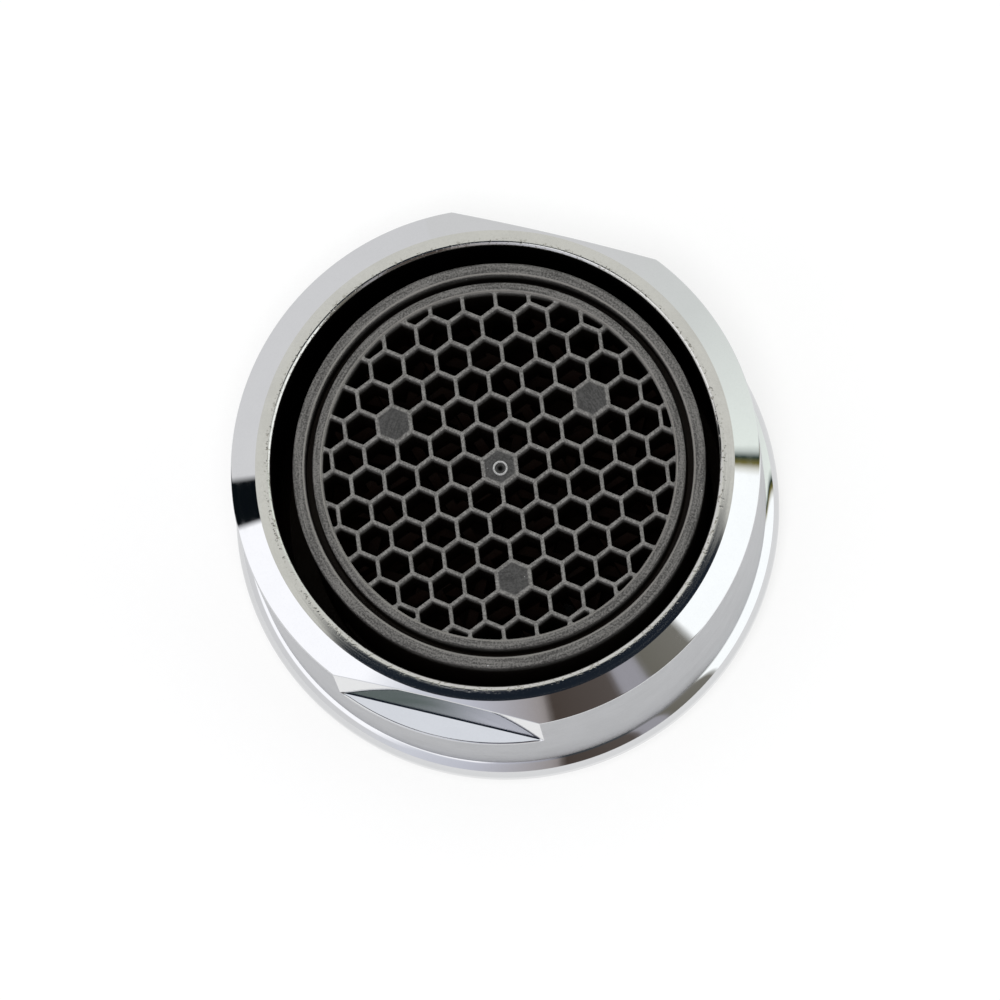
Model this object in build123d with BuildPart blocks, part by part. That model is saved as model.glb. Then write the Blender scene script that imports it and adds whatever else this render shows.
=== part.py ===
from build123d import *
from math import cos, hypot, radians, sin, sqrt
import os

# Tap aerator in millimetres. It stands on its sealing washer with the outlet up,
# its axis is Z, and its two spanner flats face +Y and -Y.

# Housing: one turned brass ring, 22 across its flats
head_radius = 12.0
head_length = 9.85
flat_cut = 1.0
flat_depth = 4.9
bevel_width = 1.15
bevel_drop = 0.57
face_width = 0.7
bore_edge_break = 0.2
collar_stand_out = 0.6
collar_thickness = 1.4
collar_edge_break = 0.2
ledge_width = 0.6
thread_wall = 1.2
thread_length = 2.8
thread_lead_in = 0.6
relief_depth = 0.65
relief_width = 0.6

# Sealing washer
washer_thickness = 2.0
washer_width = 1.95
washer_stand_out = 0.3
washer_side_play = 0.1

# Cartridge sleeve, hung by its flange on the ledge inside the housing
cartridge_side_play = 0.2
cartridge_touch_gap = 0.02
cartridge_lean_angle = 18.0
sleeve_gap = 0.8
sleeve_wall = 0.4
sleeve_flange_thickness = 1.6
sleeve_recess = 0.2
lip_width = 0.15
lip_length = 1.5
window_count = 6
window_width = 3.4
window_height = 2.0
window_cut_depth = 1.8
insert_play = 0.05

# Honeycomb straightener
cell_pitch = 1.5
cell_wall = 0.17
cell_turn = 21.0
least_cell_opening = 0.15
groove_width = 0.35
comb_rim_width = 0.45
comb_depth = 3.0
comb_recess = 0.12
comb_collar_length = 2.2
gate_bore_radius = 0.18
gate_wall = 0.16
gate_height = 0.12

# Splitter grids
grid_count = 2
grid_rim_height = 1.6
grid_rim_width = 0.7
grid_bar_width = 0.45
grid_bar_height = 1.2
grid_bar_pitch = 2.6
grid_turn = 45.0

# Jet plate
plate_seat_step = 0.75
plate_seat_depth = 1.0
plate_thickness = 1.2
plate_skirt_wall = 0.6
plate_ring_width = 1.65
jet_count = 16
jet_ring_radius = 5.6
jet_width = 0.6
jet_length = 1.6

# Inlet strainer
strainer_clearance = 0.1
strainer_recess = 0.3
strainer_wall = 0.5
strainer_rim_width = 0.9
strainer_rim_height = 0.8
strainer_slope = 1.0
mesh_pitch = 1.9
mesh_hole = 1.35

# Radii, from the head inwards and back out to the thread
face_radius = head_radius - bevel_width
outlet_bore_radius = face_radius - face_width
sleeve_radius = outlet_bore_radius - sleeve_gap
sleeve_bore_radius = sleeve_radius - sleeve_wall
insert_radius = sleeve_bore_radius - insert_play
lip_bore_radius = sleeve_bore_radius - lip_width
comb_rim_radius = lip_bore_radius - groove_width
comb_radius = comb_rim_radius - comb_rim_width
inlet_bore_radius = outlet_bore_radius + ledge_width
thread_radius = inlet_bore_radius + thread_wall
relief_radius = thread_radius - relief_depth
collar_radius = head_radius + collar_stand_out
flange_radius = inlet_bore_radius - cartridge_side_play
plate_seat_radius = sleeve_bore_radius + plate_seat_step
plate_ring_radius = plate_seat_radius - insert_play
plate_inlet_radius = plate_ring_radius - plate_ring_width
washer_radius = inlet_bore_radius - washer_side_play
washer_inner_radius = washer_radius - washer_width

# Levels along the axis, from the surface that the washer stands on
thread_end_z = washer_stand_out
ledge_z = washer_thickness + sleeve_flange_thickness
relief_z = thread_end_z + thread_length
collar_z = relief_z + relief_width
head_z = collar_z + collar_thickness
outlet_z = head_z + head_length
sleeve_end_z = outlet_z - sleeve_recess
lip_z = sleeve_end_z - lip_length
straightener_z = lip_z - comb_collar_length
grid_stack_z = straightener_z - grid_count * grid_rim_height
plate_z = washer_thickness + plate_seat_depth
mixing_z = plate_z + plate_thickness

# The cartridge lies against one side of the housing, within its side play
cartridge_lean = cartridge_side_play - cartridge_touch_gap
cartridge_x = cartridge_lean * cos(radians(cartridge_lean_angle))
cartridge_y = cartridge_lean * sin(radians(cartridge_lean_angle))
cartridge_axis = Axis((cartridge_x, cartridge_y, 0), (0, 0, 1))
cartridge_section = Plane((cartridge_x, cartridge_y, 0), x_dir=(1, 0, 0), z_dir=(0, -1, 0))


def cartridge_level(height, turn=0.0):
    """Plane across the cartridge axis at a height, turned about that axis."""
    along = (cos(radians(turn)), sin(radians(turn)), 0)
    return Plane((cartridge_x, cartridge_y, height), x_dir=along, z_dir=(0, 0, 1))


os.makedirs("parts", exist_ok=True)

# Housing
with BuildPart() as housing:
    with BuildSketch(Plane.XZ):
        with BuildLine():
            Polyline(
                (outlet_bore_radius, ledge_z),
                (inlet_bore_radius, ledge_z),
                (inlet_bore_radius, thread_end_z),
                (thread_radius - thread_lead_in, thread_end_z),
                (thread_radius, thread_end_z + thread_lead_in),
                (thread_radius, relief_z),
                (relief_radius, relief_z),
                (relief_radius, collar_z),
                (collar_radius - collar_edge_break, collar_z),
                (collar_radius, collar_z + collar_edge_break),
                (collar_radius, head_z - collar_stand_out),
            )
            CenterArc((head_radius, head_z - collar_stand_out), collar_stand_out, 0, 90)
            Polyline(
                (head_radius, head_z),
                (head_radius, outlet_z - bevel_drop),
                (face_radius, outlet_z),
                (outlet_bore_radius + bore_edge_break, outlet_z),
                (outlet_bore_radius, outlet_z - bore_edge_break),
                (outlet_bore_radius, ledge_z),
            )
        make_face()
    revolve(axis=Axis.Z)
    with BuildSketch(Plane.XY.offset(outlet_z - flat_depth)):
        with GridLocations(0, 3 * head_radius - 2 * flat_cut, 1, 2):
            Rectangle(2 * head_radius, head_radius)
    extrude(amount=flat_depth, mode=Mode.SUBTRACT)

# Sealing washer
with BuildPart() as seal_washer:
    with BuildSketch(Plane.XY):
        Circle(washer_radius)
        Circle(washer_inner_radius, mode=Mode.SUBTRACT)
    extrude(amount=washer_thickness)

# Cartridge sleeve
window_mid_z = (mixing_z + grid_stack_z) / 2
with BuildPart() as cartridge_sleeve:
    with BuildSketch(cartridge_section):
        with BuildLine():
            Polyline(
                (plate_seat_radius, washer_thickness),
                (flange_radius, washer_thickness),
                (flange_radius, ledge_z),
                (sleeve_radius, ledge_z),
                (sleeve_radius, sleeve_end_z),
                (lip_bore_radius, sleeve_end_z),
                (lip_bore_radius, lip_z),
                (sleeve_bore_radius, lip_z),
                (sleeve_bore_radius, plate_z),
                (plate_seat_radius, plate_z),
                close=True,
            )
        make_face()
    revolve(axis=cartridge_axis)
    with Locations((cartridge_x, cartridge_y, window_mid_z)):
        with PolarLocations(sleeve_radius, window_count):
            Box(window_cut_depth, window_width, window_height, mode=Mode.SUBTRACT)

# Honeycomb straightener
comb_top_z = sleeve_end_z - comb_recess
comb_bottom_z = comb_top_z - comb_depth
cell_row = cell_pitch * sqrt(3) / 2
cell_reach = comb_radius + (cell_pitch - cell_wall) / 2 - least_cell_opening
closed_cells = [(0, 0), (2, 2), (-4, 2), (2, -4)]
cell_span = int(2 * comb_radius / cell_pitch)
cell_centres = []
for row in range(-cell_span, cell_span + 1):
    for step in range(-cell_span, cell_span + 1):
        centre = (cell_pitch * (step + row / 2), cell_row * row)
        if (step, row) not in closed_cells and hypot(*centre) < cell_reach:
            cell_centres.append(centre)

with BuildPart() as honeycomb_straightener:
    with BuildSketch(cartridge_section):
        with BuildLine():
            Polyline(
                (0, comb_bottom_z),
                (comb_radius, comb_bottom_z),
                (comb_radius, straightener_z),
                (insert_radius, straightener_z),
                (insert_radius, lip_z),
                (comb_rim_radius, lip_z),
                (comb_rim_radius, sleeve_end_z),
                (comb_radius, sleeve_end_z),
                (comb_radius, comb_top_z),
                (0, comb_top_z),
                close=True,
            )
        make_face()
    revolve(axis=cartridge_axis)
    with BuildSketch(cartridge_level(comb_bottom_z, cell_turn)):
        with Locations(cell_centres):
            RegularPolygon((cell_pitch - cell_wall) / 2, 6, major_radius=False, rotation=30)
        Circle(comb_radius, mode=Mode.INTERSECT)
    extrude(amount=comb_depth, mode=Mode.SUBTRACT)
    with BuildSketch(cartridge_level(comb_top_z)):
        Circle(gate_bore_radius + gate_wall)
        Circle(gate_bore_radius, mode=Mode.SUBTRACT)
    extrude(amount=gate_height)

# Splitter grids, each a stacking rim with crossed bars
grid_inner_radius = insert_radius - grid_rim_width
grid_bar_count = 2 * int((grid_inner_radius - grid_bar_width) / grid_bar_pitch) + 1


def build_splitter_grid(base_z, turn):
    """Rim and crossed bars of one grid that stands on base_z."""
    bar_z = base_z + (grid_rim_height - grid_bar_height) / 2
    with BuildPart() as grid:
        with BuildSketch(cartridge_level(base_z)):
            Circle(insert_radius)
            Circle(grid_inner_radius, mode=Mode.SUBTRACT)
        extrude(amount=grid_rim_height)
        with BuildSketch(cartridge_level(bar_z, turn)):
            with GridLocations(0, grid_bar_pitch, 1, grid_bar_count):
                Rectangle(2 * insert_radius, grid_bar_width)
            with GridLocations(grid_bar_pitch, 0, grid_bar_count, 1):
                Rectangle(grid_bar_width, 2 * insert_radius)
            Circle(insert_radius - grid_rim_width / 2, mode=Mode.INTERSECT)
        extrude(amount=grid_bar_height)
    return grid


splitter_grid_inlet = build_splitter_grid(grid_stack_z, 0)
splitter_grid_outlet = build_splitter_grid(grid_stack_z + grid_rim_height, grid_turn)

# Jet plate, with a skirt that holds the stack against the lip of the sleeve
with BuildPart() as jet_plate:
    with BuildSketch(cartridge_section):
        with BuildLine():
            Polyline(
                (0, plate_z),
                (plate_inlet_radius, plate_z),
                (plate_inlet_radius, washer_thickness),
                (plate_ring_radius, washer_thickness),
                (plate_ring_radius, plate_z),
                (insert_radius, plate_z),
                (insert_radius, grid_stack_z),
                (insert_radius - plate_skirt_wall, grid_stack_z),
                (insert_radius - plate_skirt_wall, mixing_z),
                (0, mixing_z),
                close=True,
            )
        make_face()
    revolve(axis=cartridge_axis)
    with BuildSketch(cartridge_level(plate_z)):
        with PolarLocations(jet_ring_radius, jet_count):
            Rectangle(jet_length, jet_width)
    extrude(amount=plate_thickness, mode=Mode.SUBTRACT)
    with Locations((cartridge_x, cartridge_y, window_mid_z)):
        with PolarLocations(insert_radius, window_count):
            Box(window_cut_depth, window_width, window_height, mode=Mode.SUBTRACT)

# Inlet strainer, a perforated cup that stays clear of the surface below
strainer_radius = washer_inner_radius - cartridge_side_play - strainer_clearance
strainer_rim_z = washer_thickness - strainer_rim_height
cup_radius = strainer_radius - strainer_rim_width
crown_radius = cup_radius - strainer_slope
mesh_span = int(crown_radius / mesh_pitch)
mesh_centres = []
for row in range(-mesh_span, mesh_span + 1):
    for step in range(-mesh_span, mesh_span + 1):
        centre = (mesh_pitch * step, mesh_pitch * row)
        if hypot(*centre) + mesh_hole / sqrt(2) < crown_radius:
            mesh_centres.append(centre)

with BuildPart() as inlet_strainer:
    with BuildSketch(cartridge_section):
        with BuildLine():
            Polyline(
                (0, strainer_recess),
                (crown_radius, strainer_recess),
                (cup_radius, strainer_rim_z),
                (strainer_radius, strainer_rim_z),
                (strainer_radius, washer_thickness),
                (cup_radius, washer_thickness),
                (cup_radius, strainer_rim_z + strainer_wall),
                (crown_radius, strainer_recess + strainer_wall),
                (0, strainer_recess + strainer_wall),
                close=True,
            )
        make_face()
    revolve(axis=cartridge_axis)
    with BuildSketch(cartridge_level(strainer_recess)):
        with Locations(mesh_centres):
            Rectangle(mesh_hole, mesh_hole)
    extrude(amount=strainer_wall, mode=Mode.SUBTRACT)

pieces = {
    "housing": housing,
    "seal_washer": seal_washer,
    "cartridge_sleeve": cartridge_sleeve,
    "honeycomb_straightener": honeycomb_straightener,
    "splitter_grid_inlet": splitter_grid_inlet,
    "splitter_grid_outlet": splitter_grid_outlet,
    "jet_plate": jet_plate,
    "inlet_strainer": inlet_strainer,
}
for name, piece in pieces.items():
    piece.part.label = name
    export_step(piece.part, f"parts/{name}.step")
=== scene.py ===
import math

import bmesh
import bpy
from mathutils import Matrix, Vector


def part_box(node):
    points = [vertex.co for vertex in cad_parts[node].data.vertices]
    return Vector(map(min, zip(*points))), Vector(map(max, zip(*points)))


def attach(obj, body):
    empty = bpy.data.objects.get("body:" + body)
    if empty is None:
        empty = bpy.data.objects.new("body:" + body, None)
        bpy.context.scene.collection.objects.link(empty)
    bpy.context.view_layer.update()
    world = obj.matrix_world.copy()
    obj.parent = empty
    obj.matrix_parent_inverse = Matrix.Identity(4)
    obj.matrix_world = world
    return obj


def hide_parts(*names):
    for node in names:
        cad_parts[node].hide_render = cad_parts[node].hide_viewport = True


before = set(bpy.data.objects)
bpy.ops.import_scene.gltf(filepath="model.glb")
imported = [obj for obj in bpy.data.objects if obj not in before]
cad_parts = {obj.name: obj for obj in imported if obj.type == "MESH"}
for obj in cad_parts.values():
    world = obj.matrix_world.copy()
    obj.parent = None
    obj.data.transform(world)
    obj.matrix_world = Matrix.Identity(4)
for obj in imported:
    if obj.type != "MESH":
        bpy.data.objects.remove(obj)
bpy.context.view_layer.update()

MM = 0.001

# Housing sizes in millimetres
HEAD_RADIUS = 12.0
FLAT_DISTANCE = 11.0
FLAT_DEPTH = 4.9
FACE_RADIUS = 10.85
BEVEL_DROP = 0.57
BORE_RADIUS = 10.15
BORE_EDGE = 0.2
COLLAR_RADIUS = 12.6
COLLAR_THICKNESS = 1.4
COLLAR_BREAK = 0.2
RELIEF_RADIUS = 11.3
RELIEF_WIDTH = 0.6
THREAD_RADIUS = 11.95
THREAD_LENGTH = 2.8
THREAD_DEPTH = 0.6
THREAD_PITCH = 1.0
THREAD_LEAD_IN = 0.6
INLET_RADIUS = 10.75
EDGE_ROUND = 0.07

# Housing angles in degrees: the crowned face, the collar's crease and the shoulders of the flats
FACE_SLOPE = 3.0
FACE_CROWN = 9.0
COLLAR_RISE = 17.0
LEDGE_TILT = 5.0

# Thread profile, as shares of half a pitch
THREAD_ROOT = 0.25
THREAD_FLANK = 0.625

# Rows of the bevel and the walls, as shares of their length
BEVEL_SHARES = (0.25, 0.5, 0.75, 0.97, 1.0)
WALL_SHARES = (0.02, 0.25, 0.5, 0.75, 1.0)

# Rows beside the lip of a shoulder: inside it by a share of its round, below it in millimetres
LIP_ROW_SHARE = 1.4
LIP_ROW_DROP = 0.04

# Materials of the housing, by their place in its list
POLISHED, FACE, THREAD, WALL, BORE = range(5)

# Sleeve, air windows and washer, in millimetres
SLEEVE_RADIUS = 9.35
SLEEVE_BORE = 8.95
SLEEVE_END_ROUND = 0.13
LIP_BORE = 8.8
LIP_LENGTH = 1.5
FLANGE_RADIUS = 10.55
FLANGE_THICKNESS = 1.6
PLATE_SEAT_RADIUS = 9.7
PLATE_SEAT_DEPTH = 1.0
PLATE_THICKNESS = 1.2
WINDOW_COUNT = 6
WINDOW_WIDTH = 3.4
WINDOW_HEIGHT = 2.0
WINDOW_CUT = 2.0
WASHER_RADIUS = 10.65
WASHER_BORE = 8.7

# Honeycomb, in millimetres and degrees
CELL_PITCH = 1.5
CELL_WALL = 0.17
CELL_TURN = 21.0
CELL_SHIFT = (0.04, -0.06)
CELL_CORNER = 0.09
CELL_EDGE = 0.05
CLOSED_CELLS = [(0, 0), (2, 2), (-4, 2), (2, -4)]
LEAST_OPENING = 0.15
COMB_RADIUS = 8.0
COMB_DEPTH = 3.0
COMB_RECESS = 0.12
COMB_OVERLAP = 0.1
COMB_RIM = 8.45
COMB_RIM_BORE = COMB_RADIUS + 0.03
COMB_COLLAR = 8.9
COMB_COLLAR_LENGTH = 2.2
GATE_RADIUS = 0.34
GATE_BORE = 0.25
GATE_HEIGHT = 0.12
GATE_FOOT = 0.05
GATE_SHIFT = (0.095, -0.125)

# Places from the frame
THREAD_END_Z, OUTLET_Z = (corner.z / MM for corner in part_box("housing"))
RELIEF_Z = THREAD_END_Z + THREAD_LENGTH
COLLAR_Z = RELIEF_Z + RELIEF_WIDTH
HEAD_Z = COLLAR_Z + COLLAR_THICKNESS
FLAT_Z = OUTLET_Z - FLAT_DEPTH
SLEEVE_LOW, SLEEVE_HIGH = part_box("cartridge_sleeve")
CARTRIDGE = ((SLEEVE_LOW.x + SLEEVE_HIGH.x) / 2 / MM, (SLEEVE_LOW.y + SLEEVE_HIGH.y) / 2 / MM)
SLEEVE_END_Z = SLEEVE_HIGH.z / MM
LIP_Z = SLEEVE_END_Z - LIP_LENGTH
WASHER_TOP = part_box("seal_washer")[1].z / MM
LEDGE_Z = WASHER_TOP + FLANGE_THICKNESS
PLATE_SEAT_Z = WASHER_TOP + PLATE_SEAT_DEPTH
GATE = (CARTRIDGE[0] + GATE_SHIFT[0], CARTRIDGE[1] + GATE_SHIFT[1])
WINDOW_Z = (PLATE_SEAT_Z + PLATE_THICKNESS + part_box("splitter_grid_inlet")[0].z / MM) / 2

# Camera, fitted to the photograph
CAMERA_AZIMUTH = 29.5
CAMERA_ELEVATION = 78.3
CAMERA_ROLL = 15.8
CAMERA_DISTANCE = 0.4
IMAGE_SIZE = 1000
FACE_PIXEL = (494.5, 464.1)
PIXELS_PER_METRE = 22150
SENSOR_WIDTH = 36.0

# Colours of the mouldings, with the dark and the pale grain where there are two
RING_GREYS = ((0.034, 0.0325, 0.031, 1.0), (0.145, 0.14, 0.133, 1.0))
# The walls' paler greys are a painted highlight, for the light their rounded tops catch
WALL_HIGHLIGHT_GREYS = ((0.085, 0.082, 0.078, 1.0), (0.19, 0.185, 0.177, 1.0))
CLOSED_GREYS = ((0.026, 0.0255, 0.025, 1.0), (0.056, 0.055, 0.054, 1.0))
# Painted highlight for the rings' rounded inner edges
EDGE_HIGHLIGHT_GREY = (0.22, 0.21, 0.195, 1.0)
# Painted shade for the recesses below the sleeve's end
RECESS_SHADE = (0.006, 0.0042, 0.003, 1.0)
# Painted shade for the strainer's faces that turn into the part
INNER_SHADE_BROWN = (0.004, 0.003, 0.0025, 1.0)
# Painted shade for the small pit at the gate's middle
GATE_PIT_SHADE = 0.002
SPECK_LEVEL = 0.5

# Extent of these colours in millimetres, from where each starts to where it is full
# The next three place the painted highlights on the rings' inner edges
EDGE_HIGHLIGHT_OFFSET = 0.06
COMB_HIGHLIGHT_WIDTH = 0.07
LIP_HIGHLIGHT_WIDTH = 0.06
CLOSED_EXTENT = (0.71, 0.62)
# Extent of the painted shade in the gate's pit
GATE_PIT_SHADE_EXTENT = (0.22, 0.05)
RECESS_EXTENT = (0.14, 1.0)

# Pits in the chrome: their colour, and their distances from the bore
PIT_BROWN = (0.16, 0.14, 0.10, 1.0)
PIT_EXTENT = (0.42, 0.15)

# Colours of the studio
SKY_PALE = (0.92, 0.925, 0.89)
SKY_DARK = (0.015, 0.022, 0.035)
PANEL_WHITE = (1.5, 1.5, 1.54)
PANEL_PALE = (0.93, 0.93, 0.94)
GAP_BLACK = (0.004, 0.006, 0.008)
FLAT_GREEN = (0.2, 0.24, 0.23)
FLAT_LILAC = (0.85, 0.86, 0.95)
SHOULDER_WHITE = (1.5, 1.53, 1.6)
GROUND_LEVEL = 0.75

# Fields of the studio: where each fades into the next, as sines of its elevation
HORIZON = (-0.02, 0.02)
BELT_RISE = (0.54, 0.62)
RING_RISE = (0.80, 0.86)
DOME_RISE = (0.905, 0.925)

# Round fields in degrees: edge and core, after the tilts to the camera and to its side for the panels
DARK_SPOT = (22, 19.5)
SHOULDER_PANEL = (13.5, -14.4, 4.0, 2.5)
FLAT_PANEL = (-4.05, -4.3, 1.6, 0.9)
FLAT_SPLIT = (-0.1035, -0.0945)

# Table and lamp, in metres and watts, with the lamp beside the camera by shares of its distance
TABLE_RADIUS = 3.0
TABLE_LEVELS = (0.90, 0.94)
# Painted shadow on the table inside the washer
PAINTED_SHADOW_LEVEL = 0.02
TABLE_GLOW = 0.7
LAMP_SIZE = 0.05
LAMP_DISTANCE = 0.29
LAMP_ENERGY = 0.36
LAMP_LEFT = 0.03
LAMP_BELOW = 0.02


def cell_centre(step, row):
    """Centre of one cell about the cartridge axis."""
    x = CELL_PITCH * (step + row / 2)
    y = CELL_PITCH * math.sqrt(3) / 2 * row
    c, s = math.cos(math.radians(CELL_TURN)), math.sin(math.radians(CELL_TURN))
    return Vector((c * x - s * y + CELL_SHIFT[0], s * x + c * y + CELL_SHIFT[1]))


def unit(angle):
    return Vector((math.cos(angle), math.sin(angle)))


# Nodes of the materials
def add_node(tree, kind, inputs=None, **settings):
    """One node with its settings, and each input set or linked."""
    node = tree.nodes.new(kind)
    for name, value in settings.items():
        setattr(node, name, value)
    for socket, value in (inputs or {}).items():
        fill(tree, node.inputs[socket], value)
    return node


def fill(tree, socket, value):
    """Link a socket to another one, or set its value."""
    if isinstance(value, bpy.types.NodeSocket):
        tree.links.new(value, socket)
    else:
        socket.default_value = value


def add_math(tree, operation, first, second=0.0):
    return add_node(tree, "ShaderNodeMath", {0: first, 1: second}, operation=operation).outputs[0]


def add_vector_math(tree, operation, first, second, output="Vector"):
    inputs = {0: first, 1: second}
    return add_node(tree, "ShaderNodeVectorMath", inputs, operation=operation).outputs[output]


def add_part(tree, vector, index):
    """One coordinate of a vector."""
    return add_node(tree, "ShaderNodeSeparateXYZ", {0: vector}).outputs[index]


def add_range(tree, value, low, high, to_low=0.0, to_high=1.0):
    """Smooth step of a value from low..high to another range."""
    inputs = {"Value": value, "From Min": low, "From Max": high, "To Min": to_low, "To Max": to_high}
    return add_node(tree, "ShaderNodeMapRange", inputs, interpolation_type="SMOOTHSTEP").outputs[0]


def add_mix(tree, share, first, second):
    node = add_node(tree, "ShaderNodeMix", data_type="RGBA")
    for index, value in ((0, share), (6, first), (7, second)):
        fill(tree, node.inputs[index], value)
    return node.outputs[2]


def add_blend(tree, first, second, share):
    """Two values added up, the first by its share and the second by the rest."""
    first = add_math(tree, "MULTIPLY", first, share)
    second = add_math(tree, "MULTIPLY", second, 1 - share)
    return add_math(tree, "ADD", first, second)


def add_noise(tree, vector, scale, detail=3.0, roughness=0.55):
    inputs = {"Vector": vector, "Scale": scale, "Detail": detail, "Roughness": roughness}
    return add_node(tree, "ShaderNodeTexNoise", inputs).outputs["Fac"]


def add_bump(tree, shader, height, strength, distance_mm, normal=None):
    inputs = {"Height": height, "Strength": strength, "Distance": distance_mm * MM}
    if normal is not None:
        inputs["Normal"] = normal
    bump = add_node(tree, "ShaderNodeBump", inputs).outputs[0]
    tree.links.new(bump, shader.inputs["Normal"])
    return bump


def opaque(colour):
    return (*colour, 1.0)


def grey(level):
    return opaque((level, level, level))


def shaded(colour, factor):
    """A colour made darker or lighter."""
    return opaque(factor * part for part in colour[:3])


def new_material(name):
    """A material with its tree and its principled shader."""
    material = bpy.data.materials.new(name)
    material.use_nodes = True
    return material, material.node_tree, material.node_tree.nodes["Principled BSDF"]


def position_mm(tree):
    """Place on the object in millimetres."""
    place = add_node(tree, "ShaderNodeTexCoord").outputs["Object"]
    return stretch(tree, place, (1 / MM, 1 / MM, 1 / MM))


def stretch(tree, vector, factors):
    return add_vector_math(tree, "MULTIPLY", vector, factors)


def ring_coordinates(tree, place, centre=(0.0, 0.0)):
    """Vector of radius, angle and height about an axis."""
    moved = add_vector_math(tree, "SUBTRACT", place, (centre[0], centre[1], 0.0))
    x, y, z = add_node(tree, "ShaderNodeSeparateXYZ", {0: moved}).outputs
    squares = [add_math(tree, "POWER", part, 2.0) for part in (x, y)]
    radius = add_math(tree, "SQRT", add_math(tree, "ADD", *squares))
    angle = add_math(tree, "ARCTAN2", y, x)
    return add_node(tree, "ShaderNodeCombineXYZ", {0: radius, 1: angle, 2: z}).outputs[0]


# Materials, with noise scales per millimetre
def chrome_material(name, colour, roughness, grain, bump, mottle=0.06, pits=0.0):
    """Plated metal with turning marks round the axis, faint mottling and pits along the bore edge."""
    material, tree, shader = new_material(name)
    shader.inputs["Metallic"].default_value = 1.0
    place = position_mm(tree)
    ring = ring_coordinates(tree, place)
    turned = add_noise(tree, stretch(tree, ring, grain), 1.0)
    wide_cloud, fine_cloud = add_noise(tree, place, 0.8), add_noise(tree, place, 9.0)
    cloud = add_range(tree, add_math(tree, "ADD", wide_cloud, fine_cloud), 0.75, 1.25)
    mixed = add_mix(tree, cloud, shaded(colour, 1 - mottle), colour)
    fill(tree, shader.inputs["Roughness"], add_range(tree, turned, 0.3, 0.75, *roughness))
    normal = add_bump(tree, shader, turned, bump, 0.004)
    if pits:
        pit_start, pit_full = (BORE_RADIUS + distance for distance in PIT_EXTENT)
        near_edge = add_range(tree, add_part(tree, ring, 0), pit_start, pit_full)
        specks = add_range(tree, add_noise(tree, place, 7.0, 2.0), 0.55, 0.69)
        pitted = add_math(tree, "MULTIPLY", specks, near_edge)
        mixed = add_mix(tree, add_math(tree, "MULTIPLY", pitted, pits), mixed, PIT_BROWN)
        add_bump(tree, shader, pitted, 0.25, -0.015, normal)
    fill(tree, shader.inputs["Base Color"], mixed)
    return material


def moulded_material(name, colour, roughness, grain_scale, bump, specular=0.5):
    """Moulded plastic or rubber with a fine grain."""
    material, tree, shader = new_material(name)
    shader.inputs["Specular IOR Level"].default_value = specular
    place = position_mm(tree)
    grain = add_noise(tree, place, grain_scale, 4.0)
    cloud = add_noise(tree, place, 0.35)
    shade = add_range(tree, add_blend(tree, grain, cloud, 0.7), 0.3, 0.75)
    mixed = add_mix(tree, shade, shaded(colour, 0.72), shaded(colour, 1.28))
    uneven = add_range(tree, grain, 0.3, 0.7, roughness - 0.08, roughness + 0.1)
    fill(tree, shader.inputs["Base Color"], mixed)
    fill(tree, shader.inputs["Roughness"], uneven)
    add_bump(tree, shader, grain, bump, 0.02)
    return material


def strainer_material(name):
    """Pale moulding, with shade painted dark on every face but those that turn downward, out of the part.
    """
    material = moulded_material(name, (0.55, 0.55, 0.53, 1.0), 0.5, 8.0, 0.2, specular=0.2)
    tree = material.node_tree
    shader = tree.nodes["Principled BSDF"]
    pale = shader.inputs["Base Color"].links[0].from_socket
    facing = add_node(tree, "ShaderNodeNewGeometry").outputs["Normal"]
    # Shade painted by facing: dark on every face but those that turn downward
    inner_shade = add_range(tree, add_part(tree, facing, 2), -0.5, 0.2)
    fill(tree, shader.inputs["Base Color"], add_mix(tree, inner_shade, pale, INNER_SHADE_BROWN))
    return material


def add_closed_cells(tree, place, mixed, closed):
    """Give the closed cells their own colour, by the distance from each cell's centre to its sides."""
    axes = [unit(math.radians(60 * side + CELL_TURN)).to_3d() for side in range(3)]
    places = [add_vector_math(tree, "DOT_PRODUCT", place, axis, "Value") for axis in axes]
    for cell in CLOSED_CELLS:
        centre = Vector((*CARTRIDGE, 0.0)) + cell_centre(*cell).to_3d()
        away = [add_math(tree, "SUBTRACT", here, axis.dot(centre)) for here, axis in zip(places, axes)]
        away = [add_math(tree, "ABSOLUTE", distance) for distance in away]
        farthest = add_math(tree, "MAXIMUM", add_math(tree, "MAXIMUM", away[0], away[1]), away[2])
        mixed = add_mix(tree, add_range(tree, farthest, *CLOSED_EXTENT), mixed, closed)
    return mixed


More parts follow.
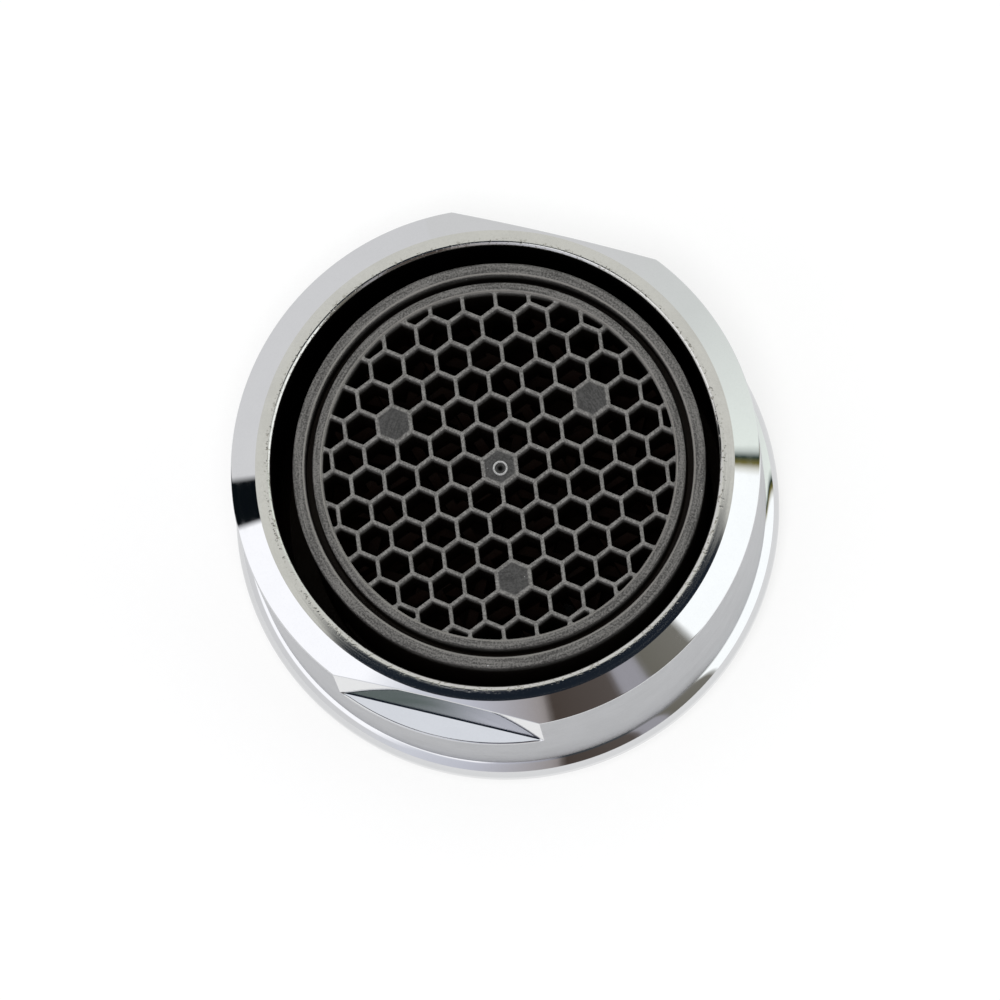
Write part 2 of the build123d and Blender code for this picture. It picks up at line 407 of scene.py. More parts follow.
def cartridge_material(name):
    """Grainy grey moulding with painted highlights on its walls and ring edges, darker closed cells, and
    painted shade in its recesses and in the small pit at the gate's middle.
    """
    material, tree, shader = new_material(name)
    place = position_mm(tree)
    ring = ring_coordinates(tree, place, CARTRIDGE)
    radius, height = add_part(tree, ring, 0), add_part(tree, place, 2)
    grain = add_noise(tree, place, 12.0, 4.0, 0.6)
    drag = add_noise(tree, stretch(tree, ring, (14.0, 6.0, 6.0)), 1.0)
    shade = add_range(tree, add_blend(tree, grain, drag, 0.65), 0.39, 0.61)
    rings = add_mix(tree, shade, *RING_GREYS)
    # Painted highlight: the comb's walls take a paler grey than the rings
    walls = add_mix(tree, shade, *WALL_HIGHLIGHT_GREYS)
    closed = add_mix(tree, shade, *CLOSED_GREYS)
    on_walls = add_range(tree, radius, COMB_RADIUS + 0.06, COMB_RADIUS - 0.02)
    mixed = add_mix(tree, on_walls, rings, walls)

    # Highlights are painted paler on the inner edges of both rings, for the light their rounded edges catch
    for bore, width in ((COMB_RADIUS, COMB_HIGHLIGHT_WIDTH), (LIP_BORE, LIP_HIGHLIGHT_WIDTH)):
        away = add_math(tree, "ABSOLUTE", add_math(tree, "SUBTRACT", radius, bore + EDGE_HIGHLIGHT_OFFSET))
        edge_highlight = add_range(tree, away, width, 0.3 * width, 0.0, 0.7)
        mixed = add_mix(tree, edge_highlight, mixed, EDGE_HIGHLIGHT_GREY)

    # The closed cells are darker than the walls round them, and shade is painted darkest into the small pit
    # at the gate's middle
    mixed = add_closed_cells(tree, place, mixed, closed)
    gate_radius = add_part(tree, ring_coordinates(tree, place, GATE), 0)
    dot = add_range(tree, gate_radius, *GATE_PIT_SHADE_EXTENT)
    mixed = add_mix(tree, dot, mixed, grey(GATE_PIT_SHADE))
    fill(tree, shader.inputs["Specular IOR Level"], add_range(tree, dot, 0.0, 1.0, 0.35, 0.0))

    specks = add_range(tree, add_noise(tree, place, 5.5, 1.0, 0.4), 0.79, 0.84, 0.0, 0.6)
    mixed = add_mix(tree, specks, mixed, grey(SPECK_LEVEL))
    # Shade is painted dark into the recesses, deepening below the sleeve's end
    recess_start, recess_full = (SLEEVE_END_Z - depth for depth in RECESS_EXTENT)
    recess = add_range(tree, height, recess_start, recess_full)
    mixed = add_mix(tree, recess, mixed, RECESS_SHADE)
    fill(tree, shader.inputs["Base Color"], mixed)
    fill(tree, shader.inputs["Roughness"], add_range(tree, grain, 0.3, 0.7, 0.45, 0.62))
    add_bump(tree, shader, grain, 0.5, 0.02)
    return material


# Meshes
def link(mesh_object):
    bpy.context.scene.collection.objects.link(mesh_object)
    return mesh_object


def new_mesh(name, bm):
    mesh = bpy.data.meshes.new(name)
    bm.to_mesh(mesh)
    bm.free()
    return mesh


def evaluated_mesh(shown):
    """Mesh of an object after its modifiers, or of a curve when it is filled."""
    graph = bpy.context.evaluated_depsgraph_get()
    return bpy.data.meshes.new_from_object(shown.evaluated_get(graph))


def finish_mesh(mesh, materials, sharp_angle):
    """Materials and smooth shading, with sharp edges above an angle in degrees."""
    for material in materials:
        mesh.materials.append(material)
    mesh.shade_smooth()
    mesh.set_sharp_from_angle(angle=math.radians(sharp_angle))
    mesh.update()


def round_corners(corners, steps=5):
    """Closed outline in which each corner (r, z, radius) becomes an arc."""
    points = []
    count = len(corners)
    for index, (r, z, radius) in enumerate(corners):
        here = Vector((r, z))
        if not radius:
            points.append((r, z))
            continue
        before = (Vector(corners[index - 1][:2]) - here).normalized()
        after = (Vector(corners[(index + 1) % count][:2]) - here).normalized()
        half = before.angle(after) / 2
        centre = here + (before + after).normalized() * radius / math.sin(half)
        start = here + before * radius / math.tan(half) - centre
        turn = start.angle_signed(here + after * radius / math.tan(half) - centre)
        for step in range(steps + 1):
            angle = -turn * step / steps
            c, s = math.cos(angle), math.sin(angle)
            points.append((centre.x + c * start.x - s * start.y, centre.y + s * start.x + c * start.y))
    return points


def lathe(name, outline, centre, segments=192):
    """Closed outline of (r, z) turned about an upright axis."""
    bm = bmesh.new()
    rings = []
    for step in range(segments):
        angle = 2 * math.pi * step / segments
        c, s = math.cos(angle), math.sin(angle)
        ring = []
        for r, z in outline:
            place = ((centre[0] + r * c) * MM, (centre[1] + r * s) * MM, z * MM)
            ring.append(bm.verts.new(place))
        rings.append(ring)
    count = len(outline)
    for step, ring in enumerate(rings):
        other = rings[(step + 1) % segments]
        for index in range(count):
            following = (index + 1) % count
            bm.faces.new((ring[index], other[index], other[following], ring[following]))
    bmesh.ops.recalc_face_normals(bm, faces=bm.faces)
    return new_mesh(name, bm)


# Housing, with the directions of its arcs as angles
UPRIGHT, LEVEL = math.pi / 2, 0.0


def thread_radius_at(angle, z):
    """Radius of the thread at an angle and a height, with its lead-in."""
    phase = (z / THREAD_PITCH - angle / (2 * math.pi)) % 1.0
    rise = abs(phase - 0.5) * 2
    height = min(1.0, max(0.0, (rise - THREAD_ROOT) / THREAD_FLANK))
    lead_in = THREAD_RADIUS - THREAD_LEAD_IN + (z - THREAD_END_Z)
    return min(THREAD_RADIUS - THREAD_DEPTH * (1 - height), lead_in)


def arc(centre_r, centre_z, radius, start, stop, steps, material):
    """Points (r, z, material) along an arc, from one angle to another."""
    points = []
    for step in range(steps + 1):
        turn = start + (stop - start) * step / steps
        points.append((centre_r + radius * math.cos(turn), centre_z + radius * math.sin(turn), material))
    return points


def head_section(angle):
    """Points (r, z, material) of the head at an angle, from the bore edge out and down to the crease."""
    face_start = BORE_RADIUS + BORE_EDGE
    points = arc(face_start, OUTLET_Z - BORE_EDGE, BORE_EDGE, math.pi, UPRIGHT, 12, FACE)
    slope, crown = math.radians(FACE_SLOPE), math.radians(FACE_CROWN)
    crown_radius = (FACE_RADIUS - face_start) / (math.sin(crown) - math.sin(slope))
    crown_r = face_start - crown_radius * math.sin(slope)
    crown_z = OUTLET_Z - crown_radius * math.cos(slope)
    points += arc(crown_r, crown_z, crown_radius, UPRIGHT - slope, UPRIGHT - crown, 6, FACE)[1:]

    # Bevel, down to the head's round or to the flat, with a rounded edge
    face_edge_z = points[-1][1]
    facing = max(abs(math.sin(angle)), 1e-6)
    wall = min(HEAD_RADIUS, FLAT_DISTANCE / facing)
    fall = (OUTLET_Z - BEVEL_DROP - face_edge_z) / (HEAD_RADIUS - FACE_RADIUS)
    wall_top = face_edge_z + fall * (wall - FACE_RADIUS)
    run = Vector((1.0, fall)).normalized()
    half = (math.pi - run.angle(Vector((0.0, -1.0)))) / 2
    cut = EDGE_ROUND / math.tan(half)
    bevel_end = Vector((wall, wall_top)) - run * cut
    for share in BEVEL_SHARES:
        r = FACE_RADIUS + (bevel_end.x - FACE_RADIUS) * share
        points.append((r, face_edge_z + (bevel_end.y - face_edge_z) * share, POLISHED))
    edge_z = wall_top - cut
    centre = Vector((wall - EDGE_ROUND, edge_z))
    turn = (bevel_end - centre).angle(Vector((1.0, 0.0)))
    points += arc(centre.x, centre.y, EDGE_ROUND, turn, LEVEL, 8, POLISHED)[1:]

    # Each column gives its material to the faces that follow it round the axis
    on_flat = abs(math.sin(angle + 1e-4)) * HEAD_RADIUS > FLAT_DISTANCE
    wall_material = POLISHED if on_flat else WALL
    ledge_fall = math.tan(math.radians(LEDGE_TILT)) if wall < HEAD_RADIUS - 1e-6 else 0.0

    def ledge_z(r):
        return FLAT_Z - (HEAD_RADIUS - r * facing) * ledge_fall

    # Flat or wall, the shoulder with its rounded lip, and the wall below
    for share in WALL_SHARES:
        points.append((wall, edge_z + (ledge_z(wall) - edge_z) * share, wall_material))
    lip = min(EDGE_ROUND, (HEAD_RADIUS - wall) / 2)
    shoulder = HEAD_RADIUS - LIP_ROW_SHARE * lip
    points.append((shoulder, ledge_z(shoulder), wall_material))
    lip_z = ledge_z(HEAD_RADIUS - lip) - lip
    points += arc(HEAD_RADIUS - lip, lip_z, lip, UPRIGHT, LEVEL, 10, wall_material)
    below_z = lip_z - LIP_ROW_DROP
    for share in WALL_SHARES:
        points.append((HEAD_RADIUS, below_z + (HEAD_Z - below_z) * share, WALL))
    return points


def lower_section():
    """Points (r, z, material) from the crease over the collar to the relief groove."""
    rise = math.radians(COLLAR_RISE)
    bead = (COLLAR_RADIUS - HEAD_RADIUS) / (1 - math.sin(rise))
    bead_z = HEAD_Z - bead * math.cos(rise)
    points = arc(COLLAR_RADIUS - bead, bead_z, bead, UPRIGHT - rise, LEVEL, 16, POLISHED)[1:]
    inner, break_z = COLLAR_RADIUS - COLLAR_BREAK, COLLAR_Z + COLLAR_BREAK
    points += arc(inner, break_z, COLLAR_BREAK, LEVEL, -UPRIGHT, 12, POLISHED)
    return points + [(RELIEF_RADIUS, COLLAR_Z, THREAD), (RELIEF_RADIUS, RELIEF_Z, THREAD)]


def inlet_section():
    """Points (r, z, material) from the thread's end through the bore to the outlet edge."""
    return [
        (INLET_RADIUS, THREAD_END_Z, THREAD),
        (INLET_RADIUS, LEDGE_Z, THREAD),
        (BORE_RADIUS, LEDGE_Z, BORE),
        (BORE_RADIUS, (LEDGE_Z + OUTLET_Z) / 2, BORE),
    ]


def housing_angles(segments=288):
    """Even steps round the axis, with a step on each side edge of the flats."""
    pitch = 2 * math.pi / segments
    edge = math.acos(FLAT_DISTANCE / HEAD_RADIUS)
    edges = [side * math.pi / 2 + sign * edge for side in (1, 3) for sign in (-1, 1)]
    even = [2 * math.pi * step / segments for step in range(segments)]
    kept = [a for a in even if min(abs(a - e) for e in edges) > 0.4 * pitch]
    return sorted(kept + edges)


def build_housing(materials):
    """Turned housing with its flats, collar and thread."""
    bm = bmesh.new()
    angles = housing_angles()
    count = len(angles)

    def add_point(angle, r, z):
        return bm.verts.new((r * math.cos(angle) * MM, r * math.sin(angle) * MM, z * MM))

    def add_face(corners, material):
        face = bm.faces.new(corners)
        face.material_index = material

    columns = []
    for angle in angles:
        upper = head_section(angle) + lower_section()
        top = (thread_radius_at(angle, RELIEF_Z), RELIEF_Z, THREAD)
        bottom = (thread_radius_at(angle, THREAD_END_Z), THREAD_END_Z, THREAD)
        sections = (upper + [top], [bottom] + inlet_section() + [(*upper[0][:2], BORE)])
        columns.append([[(add_point(angle, r, z), m) for r, z, m in section] for section in sections])
    for index in range(count):
        for here, there in zip(columns[index], columns[(index + 1) % count]):
            for row in range(len(here) - 1):
                corners = (here[row][0], here[row + 1][0], there[row + 1][0], there[row][0])
                add_face(corners, here[row + 1][1])

    # The thread's rows follow its helix and stop at its two ends
    steps = 16
    rows = steps * (math.ceil((RELIEF_Z - THREAD_END_Z) / THREAD_PITCH) + 2)
    threads = []
    for angle in angles:
        lift = THREAD_PITCH * angle / (2 * math.pi)
        column = []
        for row in range(rows + 1):
            z = THREAD_END_Z - THREAD_PITCH + THREAD_PITCH * row / steps + lift
            z = min(RELIEF_Z, max(THREAD_END_Z, z))
            column.append(add_point(angle, thread_radius_at(angle, z), z))
        threads.append(column)
    for index in range(count):
        here, there = threads[index], threads[(index + 1) % count]
        shift = steps if index == count - 1 else 0
        for row in range(rows - shift):
            corners = (here[row], there[row + shift], there[row + shift + 1], here[row + 1])
            add_face(corners, THREAD)

    bmesh.ops.remove_doubles(bm, verts=bm.verts, dist=1e-7)
    bmesh.ops.dissolve_degenerate(bm, edges=bm.edges, dist=1e-7)
    bmesh.ops.recalc_face_normals(bm, faces=bm.faces)
    mesh = new_mesh("housing_turned", bm)
    finish_mesh(mesh, materials, 10)
    return link(bpy.data.objects.new("housing_turned", mesh))


# Cartridge and washer, with corner radii in millimetres
def build_sleeve(material):
    """Sleeve with rounded end edges and its air windows."""
    outline = round_corners([
        (PLATE_SEAT_RADIUS, WASHER_TOP, 0.05),
        (FLANGE_RADIUS, WASHER_TOP, 0.1),
        (FLANGE_RADIUS, LEDGE_Z, 0.05),
        (SLEEVE_RADIUS, LEDGE_Z, 0.05),
        (SLEEVE_RADIUS, SLEEVE_END_Z, SLEEVE_END_ROUND),
        (LIP_BORE, SLEEVE_END_Z, SLEEVE_END_ROUND),
        (LIP_BORE, LIP_Z, 0.03),
        (SLEEVE_BORE, LIP_Z, 0.03),
        (SLEEVE_BORE, PLATE_SEAT_Z, 0.05),
        (PLATE_SEAT_RADIUS, PLATE_SEAT_Z, 0.05),
    ])
    mesh = lathe("cartridge_sleeve_moulded", outline, CARTRIDGE)
    sleeve = link(bpy.data.objects.new("cartridge_sleeve_moulded", mesh))
    bm = bmesh.new()
    for index in range(WINDOW_COUNT):
        angle = 2 * math.pi * index / WINDOW_COUNT
        box = bmesh.ops.create_cube(bm, size=1.0)["verts"]
        bmesh.ops.scale(bm, vec=(WINDOW_CUT * MM, WINDOW_WIDTH * MM, WINDOW_HEIGHT * MM), verts=box)
        bmesh.ops.translate(bm, vec=(SLEEVE_RADIUS * MM, 0, WINDOW_Z * MM), verts=box)
        for vert in box:
            x, y = vert.co.x, vert.co.y
            vert.co.x = math.cos(angle) * x - math.sin(angle) * y + CARTRIDGE[0] * MM
            vert.co.y = math.sin(angle) * x + math.cos(angle) * y + CARTRIDGE[1] * MM
    cutter = link(bpy.data.objects.new("window_cutters", new_mesh("window_cutters", bm)))
    cut = sleeve.modifiers.new("windows", "BOOLEAN")
    cut.object = cutter
    cut.operation = "DIFFERENCE"
    cut.solver = "EXACT"
    sleeve.data = evaluated_mesh(sleeve)
    sleeve.modifiers.clear()
    bpy.data.objects.remove(cutter)
    finish_mesh(sleeve.data, [material], 30)
    return sleeve


def clip_convex(polygon, normal, limit):
    """Part of a convex polygon on the near side of a line."""
    kept = []
    for index, here in enumerate(polygon):
        before = polygon[index - 1]
        inside, was_inside = here.dot(normal) <= limit, before.dot(normal) <= limit
        if inside != was_inside:
            share = (limit - before.dot(normal)) / (here - before).dot(normal)
            kept.append(before + (here - before) * share)
        if inside:
            kept.append(here)
    return kept


def cell_outline(centre, apothem):
    """Rounded outline of one cell, cut by the round wall of the comb."""
    inner = (apothem - CELL_CORNER) / math.cos(math.pi / 6)
    polygon = [centre + inner * unit(math.radians(60 * corner + 30 + CELL_TURN)) for corner in range(6)]
    limit = COMB_RADIUS - CELL_CORNER
    if centre.length + inner > limit:
        middle = math.atan2(centre.y, centre.x)
        for step in range(-12, 13):
            polygon = clip_convex(polygon, unit(middle + math.radians(step)), limit)
            if len(polygon) < 3:
                return []
    outline = []
    for index, here in enumerate(polygon):
        before, after = here - polygon[index - 1], polygon[(index + 1) % len(polygon)] - here
        if before.length < 1e-6 or after.length < 1e-6:
            continue
        start = math.atan2(-before.x, before.y)
        turn = before.angle_signed(after)
        steps = max(1, math.ceil(abs(turn) / math.radians(15)))
        for step in range(steps + 1):
            outline.append(here + CELL_CORNER * unit(start - turn * step / steps))
    return outline


def comb_cells():
    """Outline of each open cell about the cartridge axis."""
    apothem = (CELL_PITCH - CELL_WALL) / 2
    span = int(2 * COMB_RADIUS / CELL_PITCH)
    outlines = []
    for row in range(-span, span + 1):
        for step in range(-span, span + 1):
            centre = cell_centre(step, row)
            if (step, row) in CLOSED_CELLS or centre.length > COMB_RADIUS + apothem - LEAST_OPENING:
                continue
            outline = cell_outline(centre, apothem)
            if outline:
                outlines.append(outline)
    return outlines


def comb_plate_mesh():
    """Plate with its cells, as a filled curve with rounded edges."""
    curve = bpy.data.curves.new("comb_plate", "CURVE")
    curve.dimensions = "2D"
    curve.fill_mode = "BOTH"
    curve.extrude = (COMB_DEPTH / 2 - CELL_EDGE) * MM
    curve.bevel_depth = CELL_EDGE * MM
    curve.bevel_resolution = 2
    curve.offset = -CELL_EDGE * MM
    edge_steps = 240
    edge = COMB_RADIUS + COMB_OVERLAP
    wheel = [edge * unit(2 * math.pi * step / edge_steps) for step in range(edge_steps)]
    for outline in [wheel] + comb_cells():
        spline = curve.splines.new("POLY")
        spline.points.add(len(outline) - 1)
        spline.use_cyclic_u = True
        for point, place in zip(spline.points, outline):
            point.co = (place.x * MM, place.y * MM, 0.0, 1.0)
    plate = link(bpy.data.objects.new("comb_plate", curve))
    mesh = evaluated_mesh(plate)
    bpy.data.objects.remove(plate)
    return mesh


def build_comb(material, gate_material):
    """Honeycomb plate, its rim and the gate ring on its closed middle cell."""
    plate_mesh = comb_plate_mesh()
    top = SLEEVE_END_Z - COMB_RECESS
    base = LIP_Z - COMB_COLLAR_LENGTH
    rim = round_corners([
        (COMB_RIM_BORE, base, 0.03),
        (COMB_COLLAR, base, 0.05),
        (COMB_COLLAR, LIP_Z, 0.04),
        (COMB_RIM, LIP_Z, 0.08),
        (COMB_RIM, SLEEVE_END_Z, 0.12),
        (COMB_RIM_BORE, SLEEVE_END_Z, 0.1),
    ])
    gate = round_corners([
        (GATE_BORE, top - GATE_FOOT, 0.0),
        (GATE_RADIUS, top - GATE_FOOT, 0.0),
        (GATE_RADIUS, top + GATE_HEIGHT, 0.05),
        (GATE_BORE, top + GATE_HEIGHT, 0.05),
    ])
    bm = bmesh.new()
    bm.from_mesh(plate_mesh)
    bmesh.ops.remove_doubles(bm, verts=bm.verts, dist=1e-8)
    middle = (CARTRIDGE[0] * MM, CARTRIDGE[1] * MM, (top - COMB_DEPTH / 2) * MM)
    bmesh.ops.translate(bm, vec=middle, verts=bm.verts)
    bm.from_mesh(lathe("comb_rim", rim, CARTRIDGE))
    plain_faces = len(bm.faces)
    bm.from_mesh(lathe("comb_gate", gate, GATE, segments=48))
    bm.faces.ensure_lookup_table()
    for face in bm.faces[plain_faces:]:
        face.material_index = 1
    mesh = new_mesh("honeycomb_moulded", bm)
    finish_mesh(mesh, [material, gate_material], 40)
    return link(bpy.data.objects.new("honeycomb_moulded", mesh))


def build_washer(material):
    outline = round_corners([
        (WASHER_BORE, 0.0, 0.2),
        (WASHER_RADIUS, 0.0, 0.2),
        (WASHER_RADIUS, WASHER_TOP, 0.1),
        (WASHER_BORE, WASHER_TOP, 0.1),
    ])
    mesh = lathe("seal_washer_rubber", outline, (0.0, 0.0))
    finish_mesh(mesh, [material], 30)
    return link(bpy.data.objects.new("seal_washer_rubber", mesh))


# Camera
azimuth, elevation = math.radians(CAMERA_AZIMUTH), math.radians(CAMERA_ELEVATION)
TOWARDS = Vector((math.sin(azimuth), -math.cos(azimuth), 0.0))
UPWARD = Vector((0, 0, 1))
back = TOWARDS * math.cos(elevation) + UPWARD * math.sin(elevation)
level_up = (UPWARD - back * back.z).normalized()
level_right = level_up.cross(back)
roll = math.radians(CAMERA_ROLL)
camera_up = level_up * math.cos(roll) + level_right * math.sin(roll)
camera_right = camera_up.cross(back)


def build_camera():
    data = bpy.data.cameras.new("camera")
    data.sensor_width = SENSOR_WIDTH
    data.lens = SENSOR_WIDTH * CAMERA_DISTANCE * PIXELS_PER_METRE / IMAGE_SIZE
    data.clip_start, data.clip_end = 0.01, 20.0
    camera = link(bpy.data.objects.new("camera", data))
    across = (IMAGE_SIZE / 2 - FACE_PIXEL[0]) / PIXELS_PER_METRE
    down = (IMAGE_SIZE / 2 - FACE_PIXEL[1]) / PIXELS_PER_METRE
    place = UPWARD * (OUTLET_Z * MM) + back * CAMERA_DISTANCE
    place = place + camera_right * across - camera_up * down
    matrix = camera.matrix_world.copy()
    for row in range(3):
        matrix[row][0], matrix[row][1], matrix[row][2] = camera_right[row], camera_up[row], back[row]
        matrix[row][3] = place[row]
    camera.matrix_world = matrix
    bpy.context.scene.camera = camera


# Light and table
def build_world():
    """Bright studio: pale far side, darker towards the camera, white panels at both sides."""
    world = bpy.data.worlds.new("studio")
    bpy.context.scene.world = world
    world.use_nodes = True
    tree = world.node_tree
    background = tree.nodes["Background"]
    direction = add_node(tree, "ShaderNodeTexCoord").outputs["Generated"]
    side = Vector((-TOWARDS.y, TOWARDS.x, 0))

    def along(axis):
        return add_vector_math(tree, "DOT_PRODUCT", direction, axis, "Value")

    def add_spot(axis, edge, core):
        """Round field about an axis, full inside its core and gone at its edge, in degrees."""
        return add_range(tree, along(axis), math.cos(math.radians(edge)), math.cos(math.radians(core)))

    near, across, height = along(TOWARDS), along(side), along(UPWARD)
    turn = add_math(tree, "DIVIDE", add_math(tree, "ARCTAN2", across, near), 2 * math.pi)
    turn = add_math(tree, "ADD", turn, 0.5)

    def add_ramp(stops):
        """Colours round the object, by degrees from the camera's side, anticlockwise from above."""
        ramp_node = add_node(tree, "ShaderNodeValToRGB", {0: turn})
        ramp = ramp_node.color_ramp
        while len(ramp.elements) > 1:
            ramp.elements.remove(ramp.elements[-1])
        for index, (degrees, colour) in enumerate(stops):
            place = degrees / 360 + 0.5
            element = ramp.elements[0] if index == 0 else ramp.elements.new(place)
            element.position = place
            element.color = opaque(colour)
        return ramp_node.outputs[0]

    near_side = [
        (-45, (0.9, 0.92, 1.0)), (-28, (0.75, 0.76, 0.85)), (-6, (0.45, 0.41, 0.40)),
        (-3.5, (0.09, 0.07, 0.06)), (16.5, (0.13, 0.11, 0.10)), (18.5, (0.45, 0.44, 0.48)),
        (25, (0.45, 0.44, 0.48)), (27, (0.2, 0.19, 0.16)), (41.5, (0.26, 0.25, 0.22)),
        (43.5, (1.5, 1.54, 1.54)), (88, (1.5, 1.54, 1.54)), (89.5, (0.3, 0.25, 0.05)),
        (91.5, (0.02, 0.05, 0.05)), (93.5, (1.16, 1.24, 1.16)), (104, (1.1, 1.16, 1.1)),
        (127, (0.92, 0.95, 0.92)), (150, (0.9, 0.9, 0.9)),
    ]
    far_side = [
        (-180, (0.92, 0.92, 0.93)), (-118, (0.95, 0.95, 0.96)), (-117, GAP_BLACK), (-108, GAP_BLACK),
    ]
    belt = add_ramp(far_side + [(-107, PANEL_WHITE), (-60, PANEL_WHITE)] + near_side)
    low = add_ramp(far_side + [(-107, PANEL_PALE), (-60, PANEL_PALE)] + near_side)
    ring = add_ramp([
        (-180, SKY_PALE), (-66, PANEL_PALE), (-60, PANEL_WHITE), (-30, PANEL_WHITE),
        (-24, (0.75, 0.76, 0.85)), (-8, (0.45, 0.45, 0.5)), (-4, (0.06, 0.07, 0.08)),
        (17, (0.08, 0.09, 0.1)), (20, (0.25, 0.25, 0.26)), (42, (0.3, 0.3, 0.28)), (45, (0.5, 0.51, 0.5)),
        (90, (0.52, 0.53, 0.52)), (110, (0.8, 0.8, 0.78)), (150, SKY_PALE),
    ])
    dome = add_mix(tree, add_spot(back, *DARK_SPOT), opaque(SKY_PALE), opaque(SKY_DARK))

    # Two small panels near the zenith that the near flat and its shoulder show
    across_flat = add_range(tree, along(Vector((1, 0, 0))), *FLAT_SPLIT)
    flat_panel = add_mix(tree, across_flat, opaque(FLAT_GREEN), opaque(FLAT_LILAC))
    panels = [(*SHOULDER_PANEL, opaque(SHOULDER_WHITE)), (*FLAT_PANEL, flat_panel)]
    for tilt_near, tilt_side, edge, core, colour in panels:
        centre = TOWARDS * math.tan(math.radians(tilt_near)) + side * math.tan(math.radians(tilt_side))
        centre = (centre + UPWARD).normalized()
        dome = add_mix(tree, add_spot(centre, edge, core), dome, colour)

    # The fields lie one above the other, and the ground below them
    sky = add_mix(tree, add_range(tree, height, *BELT_RISE), low, belt)
    sky = add_mix(tree, add_range(tree, height, *RING_RISE), sky, ring)
    sky = add_mix(tree, add_range(tree, height, *DOME_RISE), sky, dome)
    sky = add_mix(tree, add_range(tree, height, *HORIZON), grey(GROUND_LEVEL), sky)
    fill(tree, background.inputs[0], sky)

    # The camera itself sees plain white
    plain = add_node(tree, "ShaderNodeBackground", {0: grey(1.0), 1: 1.0})
    path = add_node(tree, "ShaderNodeLightPath")
    inputs = {0: path.outputs["Is Camera Ray"], 1: background.outputs[0], 2: plain.outputs[0]}
    mixed = add_node(tree, "ShaderNodeMixShader", inputs)
    fill(tree, tree.nodes["World Output"].inputs[0], mixed.outputs[0])


def build_floor():
    """White table that keeps a pale shadow, with a shadow painted dark inside the washer, where the part
    covers it.
    """
    bm = bmesh.new()
    bmesh.ops.create_circle(bm, cap_ends=True, radius=TABLE_RADIUS, segments=96)
    mesh = new_mesh("table", bm)
    floor = link(bpy.data.objects.new("table", mesh))
    material, tree, shader = new_material("white_table")
    shader.inputs["Roughness"].default_value = 0.9
    shader.inputs["Specular IOR Level"].default_value = 0.0
    place = position_mm(tree)
    out = add_node(tree, "ShaderNodeVectorMath", {0: place}, operation="LENGTH").outputs["Value"]
    open_air = add_range(tree, out, WASHER_BORE, WASHER_RADIUS)
    pale = add_mix(tree, add_noise(tree, place, 2.0), *(grey(level) for level in TABLE_LEVELS))
    # Painted shadow: the table is dark inside the washer
    fill(tree, shader.inputs["Base Color"], add_mix(tree, open_air, grey(PAINTED_SHADOW_LEVEL), pale))
    path = add_node(tree, "ShaderNodeLightPath")
    seen = add_math(tree, "MAXIMUM", path.outputs["Is Camera Ray"], path.outputs["Is Transmission Ray"])
    seen = add_math(tree, "MAXIMUM", seen, path.outputs["Is Glossy Ray"])
    white = add_node(tree, "ShaderNodeEmission", {0: grey(1.0), 1: 1.0})
    share = add_math(tree, "MULTIPLY", add_math(tree, "MULTIPLY", seen, open_air), TABLE_GLOW)
    mixed = add_node(tree, "ShaderNodeMixShader", {0: share, 1: shader.outputs[0], 2: white.outputs[0]})
    fill(tree, tree.nodes["Material Output"].inputs[0], mixed.outputs[0])
    mesh.materials.append(material)


def build_lamp():
    """Small lamp beside the camera, which throws the narrow shadow to the upper right."""
    data = bpy.data.lights.new("key", "AREA")
    data.shape = "DISK"
    data.size = LAMP_SIZE
    data.energy = LAMP_ENERGY
    lamp = link(bpy.data.objects.new("key", data))
    direction = (back - camera_right * LAMP_LEFT - camera_up * LAMP_BELOW).normalized()
    lamp.location = direction * LAMP_DISTANCE
    lamp.rotation_mode = "QUATERNION"
    lamp.rotation_quaternion = (-direction).to_track_quat("-Z", "Y")
    lamp.visible_glossy = False


bpy.context.scene.view_settings.view_transform = "Standard"
build_camera()
build_world()
build_floor()
build_lamp()

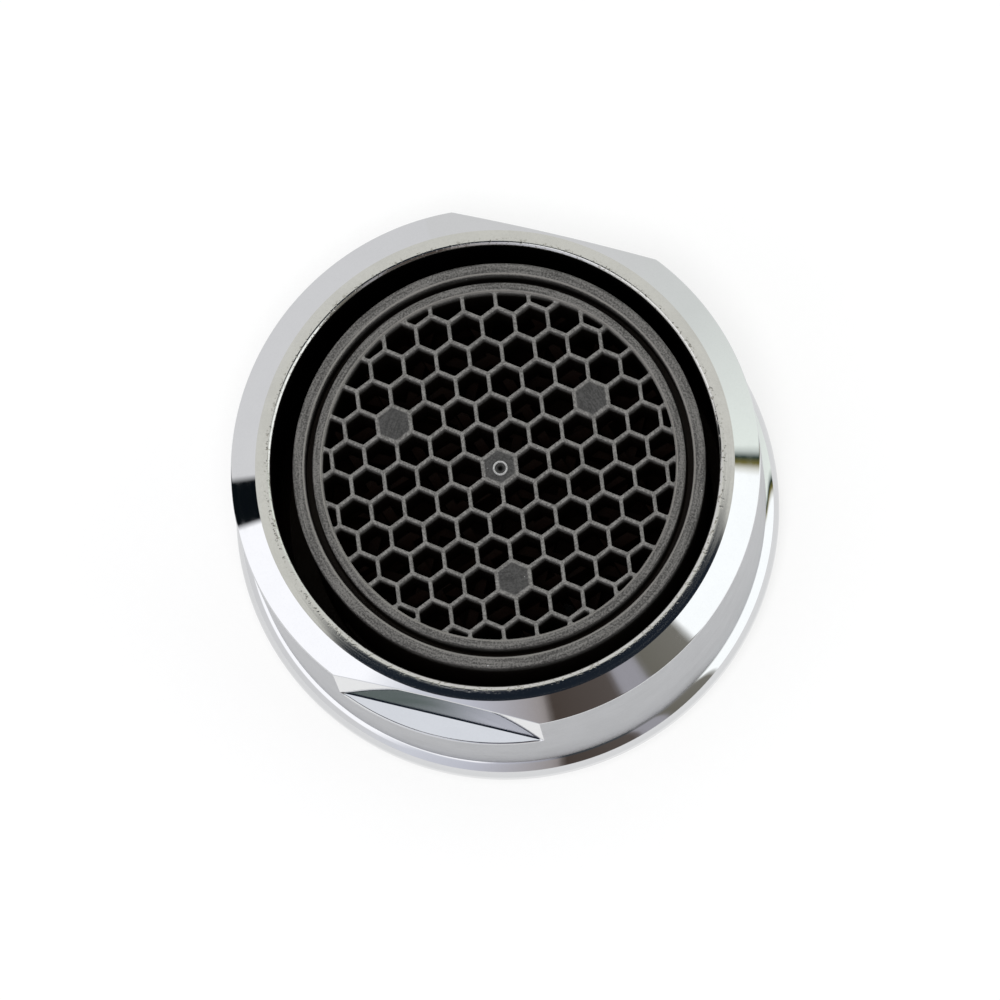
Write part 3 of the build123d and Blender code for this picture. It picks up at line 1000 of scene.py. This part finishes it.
polished = chrome_material(
    "polished_chrome", (0.64, 0.645, 0.655, 1.0), roughness=(0.02, 0.05), grain=(3.0, 0.6, 3.0), bump=0.02,
    mottle=0.02)
face_chrome = chrome_material(
    "face_chrome", (0.60, 0.595, 0.575, 1.0), roughness=(0.05, 0.16), grain=(9.0, 1.2, 9.0), bump=0.3,
    pits=0.6)
thread_chrome = chrome_material(
    "thread_chrome", (0.60, 0.59, 0.56, 1.0), roughness=(0.12, 0.26), grain=(9.0, 1.5, 12.0), bump=0.12)
# Darker than the polished chrome: painted shade for the dim reflection of the table near the foot; its
# satin roughness is its own
wall_chrome = chrome_material(
    "wall_chrome", (0.45, 0.455, 0.47, 1.0), roughness=(0.42, 0.55), grain=(5.0, 1.0, 14.0), bump=0.10,
    mottle=0.07)
# Nearly black: painted shade, so that the bore and the gap round the cartridge render dark
bore_metal = chrome_material(
    "bore_metal", (0.03, 0.028, 0.026, 1.0), roughness=(0.25, 0.4), grain=(9.0, 1.5, 12.0), bump=0.10)
grey_plastic = cartridge_material("grey_plastic")
gate_plastic = moulded_material("gate_plastic", (0.36, 0.36, 0.355, 1.0), 0.45, 14.0, 0.2)
# Nearly black brown: painted shade for the dim inside of the cartridge
inner_plastic = moulded_material("inner_plastic", (0.006, 0.0032, 0.0024, 1.0), 0.5, 9.0, 0.2, specular=0.1)
strainer_plastic = strainer_material("strainer_plastic")
rubber = moulded_material("washer_rubber", (0.028, 0.028, 0.03, 1.0), 0.72, 10.0, 0.4)

housing_materials = [polished, face_chrome, thread_chrome, wall_chrome, bore_metal]
pieces = [
    (build_housing(housing_materials), "housing", "chrome"),
    (build_sleeve(grey_plastic), "cartridge_sleeve", "grey_plastic"),
    (build_comb(grey_plastic, gate_plastic), "honeycomb_straightener", "grey_plastic"),
    (build_washer(rubber), "seal_washer", "washer_rubber"),
]
for piece, node, slot in pieces:
    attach(piece, "root")
    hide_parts(node)

kept_nodes = {
    "splitter_grid_inlet": inner_plastic,
    "splitter_grid_outlet": inner_plastic,
    "jet_plate": inner_plastic,
    "inlet_strainer": strainer_plastic,
}
for node, material in kept_nodes.items():
    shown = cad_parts[node]
    shown.data.materials.clear()
    shown.data.materials.append(material)
